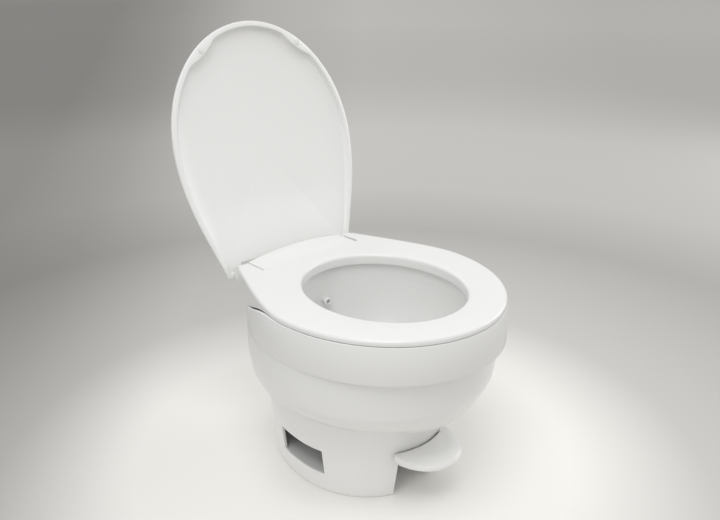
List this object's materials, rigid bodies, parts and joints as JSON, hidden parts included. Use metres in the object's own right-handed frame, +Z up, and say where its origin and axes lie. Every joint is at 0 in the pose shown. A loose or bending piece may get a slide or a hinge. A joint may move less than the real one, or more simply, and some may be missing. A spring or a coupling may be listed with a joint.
{
  "type": "rv toilet",
  "caption": "Low foot-flush rv toilet: oval bowl on a narrow pedestal, seat ring and domed lid on a shared hinge, pedal at the foot that opens a half ball valve.",
  "frame": {"origin": "on the floor, under the centre of the whole object's box at rest, with the lid open", "axes": "+Z up, -Y towards the front, where the pedal is, +X to the right hand of someone who faces the front"},
  "size_m": [0.3992, 0.5584, 0.7288],
  "materials": {
    "shell": "smooth moulded white plastic, satin gloss",
    "basin": "smooth white plastic, glossy",
    "rubber": "matt black moulded rubber",
    "pad": "soft white pad",
    "steel": "plain stainless steel",
    "grey": "moulded grey engineering plastic, fine texture",
    "tube": "milky flexible hose",
    "brass": "plain turned brass"
  },
  "bodies": {
    "base": {"pedestal": "shell", "bowl_shell": "shell", "bowl_liner": "basin", "hinge_cover": "shell", "hinge_post_left": "grey", "hinge_post_right": "grey", "hinge_pin_left": "steel", "hinge_pin_right": "steel", "hinge_bolt_left": "steel", "hinge_bolt_right": "steel", "hinge_nut_left": "steel", "hinge_nut_right": "steel", "bowl_screw_1": "steel", "bowl_screw_2": "steel", "bowl_screw_3": "steel", "bowl_screw_4": "steel", "throat_seal": "rubber", "valve_housing": "grey", "floor_seal": "rubber", "shaft_bush_left": "brass", "shaft_bush_right": "brass", "return_spring": "steel", "water_valve": "grey", "inlet_fitting": "grey", "supply_tube": "tube", "rinse_tube": "tube", "vacuum_breaker": "grey", "flush_nozzle": "basin", "floor_bolt_left": "brass", "floor_bolt_right": "brass", "floor_nut_left": "brass", "floor_nut_right": "brass", "floor_washer_left": "steel", "floor_washer_right": "steel"},
    "seat": {"seat": "shell", "seat_bumper_1": "pad", "seat_bumper_2": "pad", "seat_bumper_3": "pad", "seat_bumper_4": "pad"},
    "lid": {"lid": "shell", "lid_bumper_left": "pad", "lid_bumper_right": "pad"},
    "pedal": {"pedal": "shell", "pedal_shaft": "steel", "valve_cam": "grey", "drive_sector": "grey"},
    "ball": {"waste_ball": "grey", "ball_pinion": "grey"},
    "plunger": {"valve_plunger": "brass"}
  },
  "joints": [
    {"name": "seat_hinge", "type": "hinge", "parent": "base", "child": "seat", "pos_m": [0, 0.14528, 0.326], "axis": [-1, 0, 0], "range_deg": [0, 95]},
    {"name": "lid_hinge", "type": "hinge", "parent": "seat", "child": "lid", "pos_m": [0, 0.14528, 0.326], "axis": [-1, 0, 0], "range_deg": [-104.6, 0]},
    {"name": "pedal_press", "type": "hinge", "parent": "base", "child": "pedal", "pos_m": [0, -0.13272, 0.072], "axis": [1, 0, 0], "range_deg": [0, 25], "stiffness_Nm_per_rad": 1.5, "springref_deg": -20.05, "deforming": ["return_spring"]},
    {"name": "ball_turn", "type": "hinge", "parent": "base", "child": "ball", "pos_m": [0, -0.01972, 0.12], "axis": [1, 0, 0], "range_deg": [-90, 0]},
    {"name": "plunger_slide", "type": "slide", "parent": "base", "child": "plunger", "axis": [0, 0, 1], "range_m": [0, 0.008]}
  ],
  "couplings": [
    {"joint": "ball_turn", "follows": "pedal_press", "ratio": -3.6},
    {"joint": "plunger_slide", "follows": "pedal_press", "m_per_rad": 0.0174}
  ]
}
